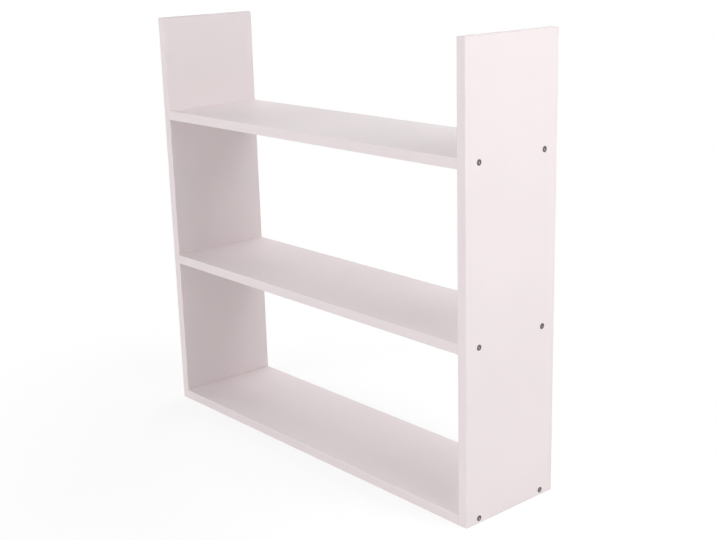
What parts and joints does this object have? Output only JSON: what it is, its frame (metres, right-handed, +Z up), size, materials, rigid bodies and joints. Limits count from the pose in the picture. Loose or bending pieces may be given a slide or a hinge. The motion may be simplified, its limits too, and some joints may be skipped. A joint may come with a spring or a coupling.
{
  "type": "wall shelf",
  "caption": "Open wall shelf in white board: plain upright sides carry fixed shelves, screwed through the sides, with keyhole plates in the rear edges to hang it by.",
  "frame": {"origin": "middle of the footprint, on the plane that the shelf stands on", "axes": "+X along the shelves to the viewer's right, -Y the open front, +Y the wall side, +Z up"},
  "size_m": [0.836, 0.212, 0.796],
  "materials": {
    "white_board": "chipboard faced on both sides in white melamine, satin",
    "white_edge_band": "white plastic edge band, glued on, outer edges rounded",
    "screw_steel": "dark plated steel screw, its socket rubbed bright",
    "plate_steel": "bright zinc-plated steel, for the pressed plates and their screws"
  },
  "bodies": {
    "root": {"bottom_shelf": "white_board", "middle_shelf": "white_board", "top_shelf": "white_board", "left_side_panel": "white_board", "right_side_panel": "white_board", "bottom_shelf_front_edge_band": "white_edge_band", "bottom_shelf_rear_edge_band": "white_edge_band", "middle_shelf_front_edge_band": "white_edge_band", "middle_shelf_rear_edge_band": "white_edge_band", "top_shelf_front_edge_band": "white_edge_band", "top_shelf_rear_edge_band": "white_edge_band", "left_side_front_edge_band": "white_edge_band", "left_side_rear_edge_band": "white_edge_band", "left_side_top_edge_band": "white_edge_band", "left_side_bottom_edge_band": "white_edge_band", "right_side_front_edge_band": "white_edge_band", "right_side_rear_edge_band": "white_edge_band", "right_side_top_edge_band": "white_edge_band", "right_side_bottom_edge_band": "white_edge_band", "bottom_shelf_left_front_screw": "screw_steel", "bottom_shelf_left_rear_screw": "screw_steel", "middle_shelf_left_front_screw": "screw_steel", "middle_shelf_left_rear_screw": "screw_steel", "top_shelf_left_front_screw": "screw_steel", "top_shelf_left_rear_screw": "screw_steel", "bottom_shelf_right_front_screw": "screw_steel", "bottom_shelf_right_rear_screw": "screw_steel", "middle_shelf_right_front_screw": "screw_steel", "middle_shelf_right_rear_screw": "screw_steel", "top_shelf_right_front_screw": "screw_steel", "top_shelf_right_rear_screw": "screw_steel", "left_hanging_plate": "plate_steel", "right_hanging_plate": "plate_steel", "left_plate_upper_screw": "plate_steel", "left_plate_lower_screw": "plate_steel", "right_plate_upper_screw": "plate_steel", "right_plate_lower_screw": "plate_steel"}
  },
  "joints": []
}
